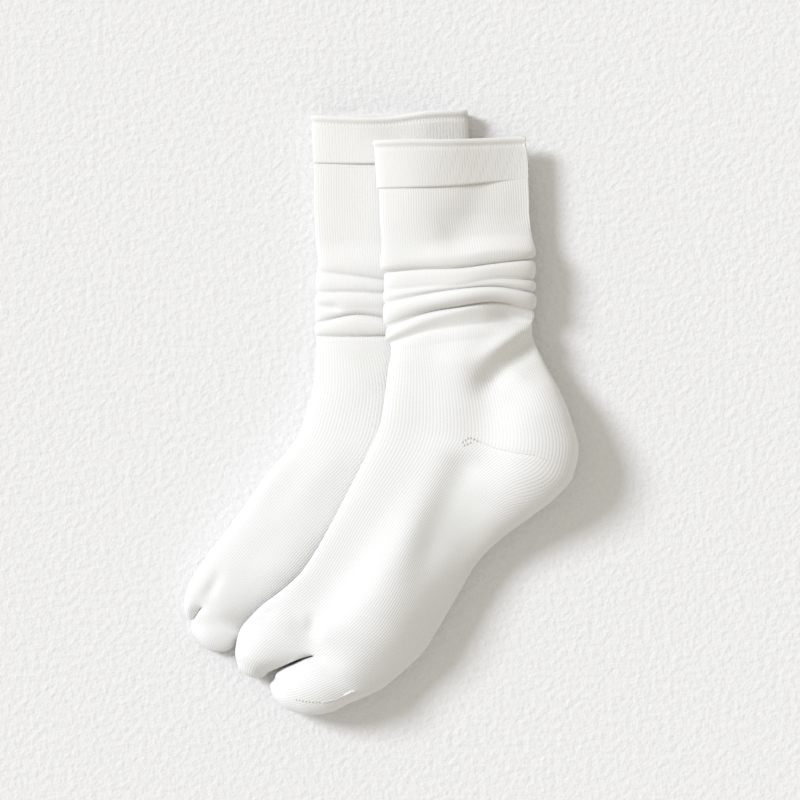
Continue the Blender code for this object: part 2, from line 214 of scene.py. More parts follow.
RIGHT_BIG_TOE = Pocket([
    Toe((-7.8, -169.8), (-45, -146.9), 35.2, 30.5, 0),
    Toe((-18, -174), (-51.2, -150), 34.6, 29, 0),
    Toe((-31.2, -180), (-57.8, -153.2), 32, 26, 0),
    Toe((-43.6, -181.6), (-62.8, -157.2), 27.6, 20, 0),
    Toe((-51.6, -179.8), (-63.8, -161.2), 24, 15, 1),
], (-64.6, -170.6, 9))

LEFT_LEG = [
    Section("smooth", (-39.9, 130.8), (54.3, 133.8), (0, 0, 0), (10.5, 7), (14.8, 14, 12.5), 0),
    Section("smooth", (-38.7, 103.8), (54.9, 103.8), (0, 0, 0), (10.5, 7), (15.2, 14.5, 12.5), 0),
    Section("crest", (-37.5, 90.6), (56.4, 89.4), (-2.1, -4.2, -5.1), (9, 7), (18.5, 17, 13.5), 0),
    Section("crease", (-37.9, 85.4), (54.6, 78), (-1.1, -2.5, -1.8), (8, 6), (15.8, 14.4, 12), 0),
    Section("crest", (-39, 78.6), (56.4, 73.8), (0, -0.6, -1.2), (9, 7), (18, 16.5, 13.5), 0),
    Section("crease", (-38, 72.6), (54.6, 69), (1.1, 0.6, -0.3), (8, 6), (15.6, 14.2, 12), 0),
    Section("crest", (-39, 67.2), (56.4, 64.2), (1.3, 0.3, -0.8), (9, 7), (18.5, 17, 13.5), 0),
    Section("smooth", (-39.3, 60.6), (55.8, 60), (2.5, 1.5, -0.1), (9, 7), (17.5, 16, 13), 0),
    Section("crease", (-38.5, 54), (54.6, 54.6), (5.1, 2.4, 0.7), (8, 6), (14, 12.5, 11.5), 0),
    Section("crest", (-39.6, 50.1), (56.4, 50.4), (2.6, 1.4, 0.1), (9, 7), (18.5, 16.5, 13.5), 0),
    Section("crease", (-38.4, 46.2), (54.6, 46.8), (-0.2, 0, 0.1), (8, 6), (14.5, 12.5, 11.5), 0),
]
LEFT_FOOT = [
    Section("smooth", (-38.4, 42), (56.4, 42), (0, 0, 0), (9, 7), (18.5, 16, 13), 0),
    Section("smooth", (-39, 31.8), (64.2, 34.2), (0, 0, 0), (10, 7), (20, 16.5, 12.5), 0),
    Section("smooth", (-40.2, 16.8), (73.8, 19.2), (0, 0, 0), (11, 7), (22, 17, 12), 0),
    Section("smooth", (-43.8, 3), (80.4, 4.2), (0, 0, 0), (12, 7), (23, 19, 12), 0),
    Section("smooth", (-48.6, -11.4), (81.6, -10.2), (0, 0, 0), (12, 7), (24, 20, 12), 0),
    Section("smooth", (-55.2, -22.2), (78.6, -25.2), (0, 0, 0), (13, 7), (25, 21, 12), 0),
    Section("smooth", (-63, -30.6), (69.6, -39), (0, 0, 0), (13, 7), (25.5, 21.5, 13), 0),
    Section("smooth", (-70.8, -40.2), (52.8, -52.2), (0, 0, 0), (13, 7), (25.3, 22.3, 13.5), 0),
    Section("smooth", (-78, -51), (33.6, -66.6), (0, 0, 0), (13, 7), (25, 23, 14), 0),
    Section("smooth", (-85.2, -60.6), (19.2, -79.2), (0, 0, 0), (13, 7), (24.8, 23.6, 14.5), 0),
    Section("smooth", (-92.4, -70.2), (6, -91.8), (0, 0, 0), (13, 7), (24.4, 23.8, 15), 0),
    Section("smooth", (-99.6, -79.8), (-7.2, -105), (0, 0, 0), (13, 7), (23.8, 23.6, 15.5), 0),
    Section("smooth", (-106.2, -88.8), (-22.2, -116.4), (0, 0, 0), (12, 7), (23, 22, 15), 0),
    Section("smooth", (-111, -95.4), (-37.2, -125.4), (0, 0, 0), (11, 7), (22, 20.5, 14), 0),
    Section("smooth", (-114.9, -102.5), (-52, -129.3), (0.8, 0, 0), (10.5, 7), (20.6, 19, 13), 0),
    Section("smooth", (-117.8, -110), (-72, -133.6), (0.3, 0, 0), (9.5, 7), (18, 17, 12), 0),
]
LEFT_BIG_TOE = Pocket([
    Toe((-119, -114.4), (-109.6, -119.4), 14.6, 12, 0),
], (-114.8, -125, 5.5))
LEFT_FOUR_TOES = Pocket([
    Toe((-79.5, -135.6), (-110, -120.4), 15.8, 16, 0),
    Toe((-85.8, -138.2), (-114, -127.6), 15.3, 10, 0),
], (-103.4, -143.4, 5.5))

RIGHT_CUFF = [
    Section("smooth", (-3.9, 162.8), (86.9, 166.2), (-0.45, -1.2, -0.75), (27, 18),
            (34.4, 31, 24.4), 13, 1.1),
    Section("smooth", (-2.9, 148.5), (88.6, 152), (-0.4, -0.7, -0.2), (27, 17.5),
            (34.4, 30.6, 23.8), 12.5, 1.1),
    Section("smooth", (-1.8, 133.8), (88.9, 139.8), (-1.1, -1.4, -0.3), (27, 17.5),
            (34.4, 30.4, 23.4), 12, 1.1),
]
LEFT_CUFF = [
    Section("smooth", (-41.4, 179.4), (52.2, 182.6), (-2.2, -2.7, -0.4), (11, 10), (16.2, 16, 18.5), 0),
    Section("smooth", (-40.9, 164.4), (53.4, 166.2), (-1.5, -1.8, -0.4), (11, 8.5), (15.7, 15.5, 16.5), 0),
    Section("smooth", (-40.4, 150.2), (54, 151.8), (-0.8, -1, -0.5), (11, 7), (15.7, 15.5, 14), 0),
]

# Steps across the upper side, from the left edge, at which the cleft between the toes starts
RIGHT_CLEFT = 30
LEFT_CLEFT = 20

# Stitch lines (x, y)
RIGHT_GORE = [(49.2, -17.4), (53.2, -14.4), (58, -16.6), (68.8, -20.8), (78.5, -23), (90.3, -24.6),
              (99, -27.5)]
RIGHT_GORE_TURN = [(50.2, -19.2), (54, -17.6)]
RIGHT_TOE_SEAM = [(-49.8, -171), (-41.4, -172.2), (-34.2, -172.2), (-26.4, -170.4), (-20.4, -167.4),
                  (-15.6, -165)]
RIGHT_SEAM_NUB = [(-20.4, -167.4), (-17, -165.6), (-15.2, -165.4)]

# Stitches: how far apart, how long and how thick they are, and how far they turn off their line
SEAM_STITCH = {"Spacing": 1.1 * MM, "Length": 1.4 * MM, "Thickness": 0.6 * MM, "Slant": 0.5}
NUB_STITCH = {"Spacing": 0.8 * MM, "Length": 1.8 * MM, "Thickness": 1.5 * MM, "Slant": 0.2}
# the eyelets are dark sunk stitches, painted shade in the holes
PIT_STITCH = {"Spacing": 1.9 * MM, "Length": 1.5 * MM, "Thickness": 0.9 * MM, "Slant": 0.9}

RIGHT_DENTS = [
    # the ridge that drops from the back of the ankle, and the valley under it
    Dent([(97, 53), (84, 47.5), (75, 42.5), (64, 35.5), (52, 27)], 5, -3.0, (0.2, 0.5)),
    Dent([(96, 48), (85, 37), (75.5, 29), (64, 17.5), (55, 5)], 7.5, 5, (0.12, 0.35)),
    Dent([(101, 38), (93, 29), (83, 19), (72, 7)], 11, 2.4, (0.0, 0.4)),
    # the slack between the last folds
    Dent([(99, 54.5), (86, 57), (72, 57.5), (60, 56)], 4.8, 4.4, (0.25, 0.5)),
    # the long hollow from the heel's gore down the side of the foot
    Dent([(54, -22), (45, -41), (38.5, -53), (33, -65), (26, -88), (21, -112)], 10, 3.0, (0.12, 0.4)),
    Dent([(80, 26), (70, 12), (64, -4), (62, -22), (58, -42), (50, -60), (43, -78), (35, -100)], 17, 5.0,
         (0.12, 0.3)),
    # the gore line round the heel
    Dent(RIGHT_GORE[2:], 1.3, 0.5, (0.0, 0.2)),
    # the slack in the leg
    Dent([(66, 131), (54, 118), (42, 104), (32, 99)], 12, 1.6, (0.0, 0.4)),
    # the soft pleat along the outer edge of the four toes, their flank and the cleft's start
    Dent([(-58, -114), (-66, -119), (-76, -128), (-82, -136)], 3.2, 0.8, (0.4, 0.2)),
    Dent([(-42, -124), (-48, -130), (-54, -137)], 6.5, 1.6, (0.4, 0.4)),
    Dent([(-38.5, -116), (-40, -125), (-41, -135), (-41, -144)], 4.5, 3.2, (0.5, 0.1)),
]
LEFT_DENTS = [
    # the soft valley between the toes and the minor crease of the ankle
    Dent([(-93, -90), (-99, -102), (-106, -114.5), (-111, -121)], 3.6, 1.7, (0.5, 0.0)),
    Dent([(-38, 64), (-28, 63.5), (-21, 61)], 2.2, 1.8, (0.0, 0.5)),
    Dent([(-30, -10), (-52, -40), (-76, -72)], 9, 1.0, (0.4, 0.4)),
]


def blend(a, b, share):
    return a + (b - a) * share


def places_along(line):
    """How far along a line of (x, y) each of its points is."""
    return np.concatenate([[0], np.cumsum(np.hypot(*np.diff(line, axis=0).T))])


def steps_round(ring):
    """How far it is from each point of a closed ring to the next."""
    return np.linalg.norm(np.roll(ring, -1, axis=0) - ring, axis=1)


def places_round(ring):
    """How far round a closed ring each point is, with the whole way round at the end."""
    return np.concatenate([[0], np.cumsum(steps_round(ring))])


def smooth_ramp(low, high, value):
    t = np.clip((value - low) / (high - low), 0, 1)
    return t * t * (3 - 2 * t)


def slopes_through(places, values):
    """Slopes of a curve through values that never swings past them. values is rows by columns."""
    gaps = np.diff(places)[:, None]
    rises = np.diff(values, axis=0) / gaps
    slopes = np.zeros_like(values)
    slopes[0], slopes[-1] = rises[0], rises[-1]
    before, after = rises[:-1], rises[1:]
    same_way = before * after > 0
    weight_a = 2 * gaps[1:] + gaps[:-1]
    weight_b = gaps[1:] + 2 * gaps[:-1]
    safe_before = np.where(same_way, before, 1)
    safe_after = np.where(same_way, after, 1)
    mean = (weight_a + weight_b) / (weight_a / safe_before + weight_b / safe_after)
    slopes[1:-1] = np.where(same_way, mean, 0)
    return slopes


def hermite(a, b, slope_a, slope_b, gap, t):
    return ((2 * t ** 3 - 3 * t ** 2 + 1) * a + (t ** 3 - 2 * t ** 2 + t) * gap * slope_a
            + (3 * t ** 2 - 2 * t ** 3) * b + (t ** 3 - t ** 2) * gap * slope_b)


def through(values, share):
    """A smooth curve through five columns of values spaced evenly from share 0 to share 1."""
    values = np.asarray(values, float)
    place = np.minimum(share * 4, 3.9999)
    start = place.astype(int)
    t = place - start
    padded = np.concatenate([2 * values[:, :1] - values[:, 1:2], values,
                             2 * values[:, -1:] - values[:, -2:-1]], axis=1)
    a, b = padded[:, start + 1], padded[:, start + 2]
    slope_a = (b - padded[:, start]) / 2
    slope_b = (padded[:, start + 3] - a) / 2
    return hermite(a, b, slope_a, slope_b, 1, t)


def section_row(section):
    """One section as numbers: first what runs along the cloth, then what a fold swells."""
    along = (section.left[1], section.right[1]) + section.bow + (section.lift, section.round, section.fall)
    swell = (section.left[0], section.right[0]) + section.edges + section.crest
    pucker = PUCKER if section.kind == "crease" else 0
    return along + swell + (pucker,)


def dense_rows(sections):
    """Rows of section numbers every ROW_STEP, and how far along the sock each row is.

    Beside a crease the swelling columns follow a quarter of an ellipse, which makes a full roll with a
    sharp crease; a step does so only on its lower side; everywhere else they follow a smooth curve.
    """
    values = np.array([section_row(section) for section in sections], float)
    middles = np.array([(section.left[0] / 2 + section.right[0] / 2,
                         section.left[1] / 2 + section.right[1] / 2 + section.bow[1])
                        for section in sections])
    places = places_along(middles)
    slopes = slopes_through(places, values)
    rows = []
    marks = []
    for k in range(len(sections) - 1):
        gap = places[k + 1] - places[k]
        steps = max(3, round(TUBE_ROWS * gap / ROW_STEP))
        for step in range(steps):
            t = step / steps
            row = hermite(values[k], values[k + 1], slopes[k], slopes[k + 1], gap, t)
            share = None
            if sections[k].kind in ("crease", "step"):
                share = (1 - (1 - t) ** 2) ** 0.5
            elif sections[k + 1].kind == "crease":
                share = 1 - (1 - t ** 2) ** 0.5
            if share is not None:
                row[FIRST_SWELL:] = blend(values[k], values[k + 1], share)[FIRST_SWELL:]
            rows.append(row)
            marks.append(places[k] + gap * t)
    rows.append(values[-1])
    marks.append(places[-1])
    return np.array(rows), np.array(marks)


def bare_surface(x, y):
    return np.zeros(np.shape(x))


def tent_over(*things):
    """A function of (x, y): the height at which cloth clears the given pieces."""
    points = []
    faces = []
    for thing in things:
        start = len(points)
        points += [vertex.co / MM for vertex in thing.data.vertices]
        faces += [[start + i for i in face.vertices] for face in thing.data.polygons]
    tree = BVHTree.FromPolygons(points, faces)
    low_x, high_x = min(point.x for point in points), max(point.x for point in points)
    low_y, high_y = min(point.y for point in points), max(point.y for point in points)
    poles = []
    for x in np.arange(low_x, high_x, POLE_STEP):
        for y in np.arange(low_y, high_y, POLE_STEP):
            hit = tree.ray_cast(Vector((x, y, ABOVE)), Vector((0, 0, -1)))[0]
            if hit:
                poles.append((x, y, hit.z + LAYER_GAP))
    poles = np.array(poles)

    def height(x, y):
        x, y = np.atleast_1d(x), np.atleast_1d(y)
        away = np.hypot(poles[:, 0] - x[:, None], poles[:, 1] - y[:, None])
        return np.maximum(0, np.max(poles[:, 2] - SAG * np.maximum(away - REACH, 0), axis=1))

    return height


def unevenness(x, y, seed):
    """A small slow unevenness of hand-laid cloth, from -1 to 1."""
    waves = sum(np.sin(by_x * x + by_y * y + shift * seed) for by_x, by_y, shift in WAVES)
    return waves / len(WAVES)


def dent_depth(dent, x, y):
    """How deep a dent is at each (x, y)."""
    line = np.array(dent.line, float)
    lengths = np.hypot(*np.diff(line, axis=0).T)
    starts = places_along(line)
    nearest = np.full(np.shape(x), 1e9)
    along = np.zeros(np.shape(x))
    for k in range(len(line) - 1):
        step = line[k + 1] - line[k]
        t = np.clip(((x - line[k, 0]) * step[0] + (y - line[k, 1]) * step[1]) / (step @ step), 0, 1)
        away = np.hypot(x - line[k, 0] - t * step[0], y - line[k, 1] - t * step[1])
        closer = away < nearest
        nearest = np.where(closer, away, nearest)
        along = np.where(closer, (starts[k] + t * lengths[k]) / starts[-1], along)
    start_fade, end_fade = dent.fade
    strength = np.ones(np.shape(x))
    if start_fade:
        strength = strength * smooth_ramp(0, start_fade, along)
    if end_fade:
        strength = strength * smooth_ramp(0, end_fade, 1 - along)
    return dent.depth * strength * np.exp(-(nearest / dent.width) ** 2)


def press(ring, dents):
    """A ring with the dents pressed into its upper side."""
    x, y, z = ring.T
    low, high = z.min(), z.max()
    depth = sum((dent_depth(dent, x, y) for dent in dents), np.zeros(len(ring)))
    pressed = ring.copy()
    pressed[:, 2] -= depth * smooth_ramp(*PRESSED, (z - low) / (high - low))
    return pressed


def tube_points(sections, below, seed):
    """Rings of points along a tube: rows by steps by (x, y, z), and how far along each row is."""
    rows, marks = dense_rows(sections)
    (left_y, right_y, bow_a, bow_b, bow_c, lift, right_round, fall,
     left_x, right_x, left_z, right_z, crest_a, crest_b, crest_c, pucker) = rows.T[:, :, None]
    nothing = np.zeros_like(bow_a)
    bow = np.concatenate([nothing, bow_a, bow_b, bow_c, nothing], axis=1)
    crest_end = np.maximum(crest_c - fall + np.minimum(0, crest_c - crest_b), right_z)
    crest = np.concatenate([crest_a, crest_a, crest_b, crest_c, crest_end], axis=1)
    left_z = np.maximum(left_z, below(left_x[:, 0], left_y[:, 0])[:, None] + EDGE_RISE)
    right_z = np.maximum(right_z, below(right_x[:, 0], right_y[:, 0])[:, None] + EDGE_RISE)

    angle = pi * np.arange(HALF_STEPS + 1) / HALF_STEPS
    across = (1 - np.cos(angle)) / 2
    rise = np.sin(angle[:-1]) ** blend(TOP_ROUND, right_round, smooth_ramp(0.4, 0.6, across[:-1]))
    rise = np.concatenate([rise, nothing], axis=1)
    x = blend(left_x, right_x, across)
    y = blend(left_y, right_y, across) + through(bow, across)
    edge = blend(left_z, right_z, across)
    z = blend(edge, through(crest, across), rise)
    upper = np.stack([x, y, z + rise * UNEVEN * unevenness(x, y, seed)], axis=2)

    angle = angle[-2:0:-1]
    across = across[-2:0:-1]
    x = blend(left_x, right_x, across)
    y = blend(left_y, right_y, across)
    edge = blend(left_z, right_z, across)
    floor = np.array([below(row_x, row_y) for row_x, row_y in zip(x, y)])
    drop = np.minimum(1, UNDER_SPREAD * np.sin(angle) ** TOP_ROUND)
    z = blend(edge, np.maximum(lift, floor) + pucker, drop)
    under = np.stack([x, y, z], axis=2)
    return np.concatenate([upper, under], axis=1), marks


def toe_ring(toe, outer_steps):
    """Points round a toe pocket, from the brink of the cleft over the top, round the outer side and
    underneath to the cleft again, then up its inner side."""
    crown = outer_steps // 3
    back = pi / 2 + pi * np.arange(2 * outer_steps + 1 - 2 * crown) / (2 * outer_steps - 2 * crown)
    half = (toe.top - toe.under) / 2
    outer_z = toe.under + half + half * np.sign(np.sin(back)) * np.abs(np.sin(back)) ** TOE_ROUND
    outer_across = (1 + np.cos(back)) / 2
    share = np.arange(crown, 0, -1) / crown
    inner_across = 0.5 + (0.5 - BRINK_ROUND) * share
    brink_z = blend(toe.top, toe.brink, share ** 2)
    turn = pi * np.arange(1, CLEFT_STEPS) / CLEFT_STEPS
    wall_z = blend(toe.under, toe.brink, (1 - np.cos(turn)) / 2)
    wall_across = 1 - BRINK_ROUND + BRINK_ROUND * np.sin(turn) ** 0.5
    across = np.concatenate([inner_across, outer_across, inner_across[::-1], wall_across])
    z = np.concatenate([brink_z, outer_z, np.full(crown, float(toe.under)), wall_z])
    return np.stack([blend(toe.outer[0], toe.inner[0], across),
                     blend(toe.outer[1], toe.inner[1], across), z], axis=1)


def pocket_points(roots, root_marks, pocket, outer_steps, below):
    """Rings of a toe pocket after its root, up to its round end, and how far along each is."""
    keys = list(roots) + [toe_ring(toe, outer_steps) for toe in pocket.sections]
    keys = np.array(keys)
    gaps = [np.linalg.norm(b - a, axis=1).mean() for a, b in zip(keys[:-1], keys[1:])]
    places = root_marks[0] + np.concatenate([[0], np.cumsum(gaps)])
    flat = keys.reshape(len(keys), -1)
    slopes = slopes_through(places, flat)
    rings = []
    marks = []
    for k in range(len(roots) - 1, len(keys) - 1):
        gap = places[k + 1] - places[k]
        steps = max(3, round(POCKET_ROWS * gap / ROW_STEP))
        for step in range(1, steps + 1):
            t = step / steps
            ring = hermite(flat[k], flat[k + 1], slopes[k], slopes[k + 1], gap, t)
            rings.append(ring.reshape(-1, 3))
            marks.append(places[k] + gap * t)
    last = rings[-1]
    middle = last.mean(axis=0)
    tip = np.array(pocket.tip, float)
    for step in range(1, TIP_ROWS):
        turn = pi / 2 * step / TIP_ROWS
        rings.append(blend(middle, tip, np.sin(turn)) + (last - middle) * np.cos(turn))
        marks.append(marks[-1] + ROW_STEP)
    rings = np.array(rings)
    for ring in rings:
        floor = below(ring[:, 0], ring[:, 1])
        ring[:, 2] = np.maximum(ring[:, 2], floor)
    return rings, marks, tip


def round_shares(ring):
    """How far round a closed ring each point is, from 0 to 1, with 1 added at the end."""
    places = places_round(ring)
    return places / places[-1]


class Skin:
    """A bmesh skin that is grown ring by ring, with U round the tube and V along it."""

    def __init__(self):
        self.mesh = bmesh.new()
        self.uv = self.mesh.loops.layers.uv.new("Knit")

    def add_ring(self, points):
        return [self.mesh.verts.new(Vector(point) * MM) for point in points]

    def join(self, first, second, first_u, second_u, first_v, second_v):
        """Faces between two rings. The lists of U hold one more value than the ring has points."""
        count = len(first)
        for i in range(count):
            j = (i + 1) % count
            face = self.mesh.faces.new((first[i], first[j], second[j], second[i]))
            corners = ((first_u[i], first_v), (first_u[i + 1], first_v),
                       (second_u[i + 1], second_v), (second_u[i], second_v))
            for loop, (u, v) in zip(face.loops, corners):
                loop[self.uv].uv = (u * MM, v * MM)

    def close(self, ring, point, ring_u, v):
        """Faces from the last ring to a single point."""
        tip = self.mesh.verts.new(Vector(point) * MM)
        count = len(ring)
        for i in range(count):
            face = self.mesh.faces.new((ring[i], ring[(i + 1) % count], tip))
            corners = ((ring_u[i], v), (ring_u[i + 1], v), ((ring_u[i] + ring_u[i + 1]) / 2, v + ROW_STEP))
            for loop, (u, v_here) in zip(face.loops, corners):
                loop[self.uv].uv = (u * MM, v_here * MM)


def cleft_wall(top, bottom):
    """Points between the two pockets at their shared root, from below to above."""
    shares = (np.arange(1, CLEFT_STEPS) / CLEFT_STEPS)[:, None]
    return blend(bottom, top, shares)


def pocket_roots(ring, cleft):
    """The two loops that a ring splits into at the cleft, each with the cleft's wall."""
    low = 2 * HALF_STEPS - cleft
    wall = cleft_wall(ring[cleft], ring[low])
    left = np.concatenate([ring[cleft::-1], ring[:low - 1:-1], wall])
    right = np.concatenate([ring[cleft:low + 1], wall])
    return left, right


def wale_pull(ring):
    """How much U grows for each millimetre round a ring of the tube."""
    return min(LEG_ROUND / steps_round(ring).sum(), TIGHTEST)


def ring_u(ring, top, top_u, pull):
    """U round a ring, true to its length and held to the given U at one point on top."""
    places = places_round(ring)
    return top_u + pull * (places - places[top])


def mitre(point, gore):
    """The sharp turn of the wales at the heel's gore line, as a shift of U below it."""
    if gore is None:
        return 0.0
    (start_x, start_y), (end_x, end_y) = gore
    length = np.hypot(end_x - start_x, end_y - start_y)
    way_x, way_y = end_x - start_x, end_y - start_y
    off_x, off_y = point[0] - start_x, point[1] - start_y
    along = (off_x * way_x + off_y * way_y) / length
    below = (off_x * way_y - off_y * way_x) / length
    comes_in = smooth_ramp(*GORE_START, along)
    reach = comes_in * (1 - smooth_ramp(length + GORE_END[0], length + GORE_END[1], along))
    return GORE_TURN * reach * GORE_REACH * (1 - np.exp(-max(below, 0) / GORE_REACH))


def add_wall(thing, wall):
    shell = thing.modifiers.new("wall", "SOLIDIFY")
    shell.thickness = wall * MM
    shell.offset = -1


def add_smooth_object(name, mesh, material):
    data = bpy.data.meshes.new(name)
    mesh.to_mesh(data)
    mesh.free()
    data.shade_smooth()
    data.materials.append(material)
    thing = bpy.data.objects.new(name, data)
    bpy.context.scene.collection.objects.link(thing)
    return thing


def soften(mesh, verts, rounds):
    for _ in range(rounds):
        bmesh.ops.smooth_vert(mesh, verts=verts, factor=0.5, use_axis_x=True, use_axis_y=True,
                              use_axis_z=True)


def grow_tube(skin, rings, marks, dents, gore):
    """Join the rings of the tube. Gives (row of vertices, U, V) for each of them."""
    made = []
    for ring, mark in zip(rings, marks):
        row = skin.add_ring(press(ring, dents))
        turns = np.array([mitre(point, gore) for point in ring] + [mitre(ring[0], gore)])
        row_u = ring_u(ring, HALF_STEPS // 2, LEG_ROUND / 4, wale_pull(ring)) + turns
        if made:
            skin.join(made[-1][0], row, made[-1][1], row_u, made[-1][2], mark)
        made.append((row, row_u, mark))
    return made


def grow_pocket(skin, root, rings, marks, tip, dents, u_round):
    """Join the rings of a toe pocket to its root and close its tip.

    root is (row of vertices, U, V), and u_round gives U round a ring. Gives (row, V) for each ring.
    """
    last, last_u, last_mark = root
    made = []
    for ring, mark in zip(rings, marks):
        row = skin.add_ring(press(ring, dents))
        row_u = u_round(ring)
        skin.join(last, row, last_u, row_u, last_mark, mark)
        made.append((row, mark))
        last, last_u, last_mark = row, row_u, mark
    skin.close(last, tip, last_u, last_mark)
    return made


def make_sock(name, sections, dents, cleft, pockets, gore, below, seed, material):
    """The knitted tube from its open top to the tips of its two toe pockets."""
    rings, marks = tube_points(sections, below, seed)
    skin = Skin()
    made = grow_tube(skin, rings, marks, dents, gore)
    split, split_u, split_mark = made[-1]
    low = 2 * HALF_STEPS - cleft
    pressed = press(rings[-1], dents)
    wall = skin.add_ring(cleft_wall(pressed[cleft], pressed[low]))
    before = pocket_roots(rings[-1 - GHOST], cleft)
    at_split = pocket_roots(rings[-1], cleft)
    left_steps = list(range(cleft, -1, -1)) + list(range(2 * HALF_STEPS - 1, low - 1, -1))
    right_steps = list(range(cleft, low + 1))
    near_cleft = [split[cleft], split[low]] + wall
    near_split = [(vert, 0) for vert in split + wall]
    ends = []
    for side, steps in enumerate((left_steps, right_steps)):
        way = (-1, 1)[side]
        outer_steps = (len(steps) - 1) // 2
        top = outer_steps // 3
        top_u = split_u[cleft + way * top]
        pull = way * wale_pull(rings[-1])
        roots = (before[side], at_split[side])
        root_marks = (marks[-1 - GHOST], marks[-1])
        more, more_marks, tip = pocket_points(roots, root_marks, pockets[side], outer_steps, below)
        u_round = partial(ring_u, top=top, top_u=top_u, pull=pull)
        root = ([split[i] for i in steps] + wall, u_round(at_split[side]), split_mark)
        for row, mark in grow_pocket(skin, root, more, more_marks, tip, dents, u_round):
            near_split += [(vert, mark - split_mark) for vert in row]
            if mark - split_mark < CLEFT_AHEAD:
                near_cleft += row[:CLEFT_SIDE + 1] + row[2 * outer_steps - CLEFT_SIDE:]
            if more_marks[-1] - mark < END_REACH:
                ends += row
    for ring, _, _ in made[-1 - CLEFT_BACK:-1]:
        for middle in (cleft, low):
            near_cleft += ring[middle - CLEFT_BACK:middle + CLEFT_BACK + 1]
    for ring, _, mark in made[:-1]:
        if split_mark - mark < SPLIT_REACH:
            near_split += [(vert, split_mark - mark) for vert in ring]
    for reach in np.linspace(SPLIT_REACH, 1, SPLIT_ROUNDS):
        soften(skin.mesh, [vert for vert, away in near_split if away < reach], 1)
    soften(skin.mesh, near_cleft, CLEFT_ROUNDS)
    soften(skin.mesh, ends, END_ROUNDS)
    bmesh.ops.recalc_face_normals(skin.mesh, faces=skin.mesh.faces)
    return add_smooth_object(name, skin.mesh, material)


def leg_start(cuff_edge):
    """The leg's first section: up inside its cuff, drawn in to a furrow along the cuff's edge."""
    left, right = cuff_edge.left, cuff_edge.right
    return cuff_edge._replace(
        kind="crease",
        left=(left[0] + CUFF_PROUD, left[1] + TUCK),
        right=(right[0] - CUFF_PROUD, right[1] + TUCK),
        crest=tuple(height - FURROW for height in cuff_edge.crest))


def inward(ring):
    """Unit directions across a ring towards its inside, for rings that go left, over, right, under."""
    ahead = np.roll(ring, -1, axis=0) - np.roll(ring, 1, axis=0)
    across = np.stack([ahead[:, 2], np.zeros(len(ring)), -ahead[:, 0]], axis=1)
    return across / np.linalg.norm(across, axis=1)[:, None]


def cuff_walk(rows, inside_rows):
    """Walk round a cuff's cloth: up its outside, over the rim and down inside_rows of its inside.

    Gives (row, depth into the wall, shift along Y) for each step. The rows are squeezed a little
    so that the rounded rim and lower edge end where the table says.
    """
    half = CUFF_WALL / 2
    turns = [pi * step / EDGE_TURNS for step in range(1, EDGE_TURNS)]

    def squeeze(row):
        return half * (2 * row / (rows - 1) - 1)

    walk = [(row, 0.0, squeeze(row)) for row in range(rows - 1, -1, -1)]
    walk += [(0, half * (1 - np.cos(turn)), squeeze(0) + half * np.sin(turn)) for turn in turns]
    walk += [(row, CUFF_WALL, squeeze(row)) for row in range(inside_rows)]
    return walk


def lower_edge_walk(rows):
    """The rest of the way round a cuff's cloth: the rounded lower edge, from inside to outside."""
    half = CUFF_WALL / 2
    turns = [pi * step / EDGE_TURNS for step in range(1, EDGE_TURNS)]
    return [(rows - 1, half * (1 + np.cos(turn)), half * (1 - np.sin(turn))) for turn in turns]


def swell(away, shape):
    height, middle, width = shape
    return height * np.exp(-((away - middle) / width) ** 2)


def bead(away):
    """How far a cuff stands out at a distance from its rim: a rolled bead, then a slight furrow."""
    return swell(away, RIM_BEAD) - swell(away, RIM_FURROW)


def walk_points(rings, step, sink=0.0):
    """Points round the cuff at one step of its walk, sunk into the cloth by sink."""
    row, depth, shift = step
    share = 1 - 2 * depth / CUFF_WALL
    out = bead(row * ROW_STEP / TUBE_ROWS)
    points = rings[row] + inward(rings[row]) * (depth + (sink - out) * share)
    points[:, 1] += shift
    points[:, 2] = np.maximum(points[:, 2], 0)
    return points


def make_cuff(name, sections, below, seed, material):
    """The rib band: closed cloth of its full thickness, with a rounded rim and lower edge."""
    rings, _ = tube_points(sections, below, seed)
    skin = Skin()
    made = []
    v = 0.0
    for step in cuff_walk(len(rings), len(rings)) + lower_edge_walk(len(rings)):
        points = walk_points(rings, step)
        row_u = LEG_ROUND * round_shares(rings[step[0]])
        row = skin.add_ring(points)
        if made:
            last_row, last_u, last_v, last_points = made[-1]
            v += float(np.linalg.norm(points - last_points, axis=1).mean())
            skin.join(last_row, row, last_u, row_u, last_v, v)
        made.append((row, row_u, v, points))
    skin.join(made[-1][0], made[0][0], made[-1][1], made[0][1], v, v + ROW_STEP)
    bmesh.ops.recalc_face_normals(skin.mesh, faces=skin.mesh.faces)
    return add_smooth_object(name, skin.mesh, material), rings


# ---------------------------------------------------------------- cords and stitches by nodes

def make_guide(name, lines):
    """An object of loose edges, one chain for each line of points in millimetres."""
    points = []
    edges = []
    for line in lines:
        start = len(points)
        points += [Vector(point) * MM for point in line]
        edges += [(start + i, start + i + 1) for i in range(len(line) - 1)]
    data = bpy.data.meshes.new(name)
    data.from_pydata(points, edges, [])
    thing = bpy.data.objects.new(name, data)
    bpy.context.scene.collection.objects.link(thing)
    return thing


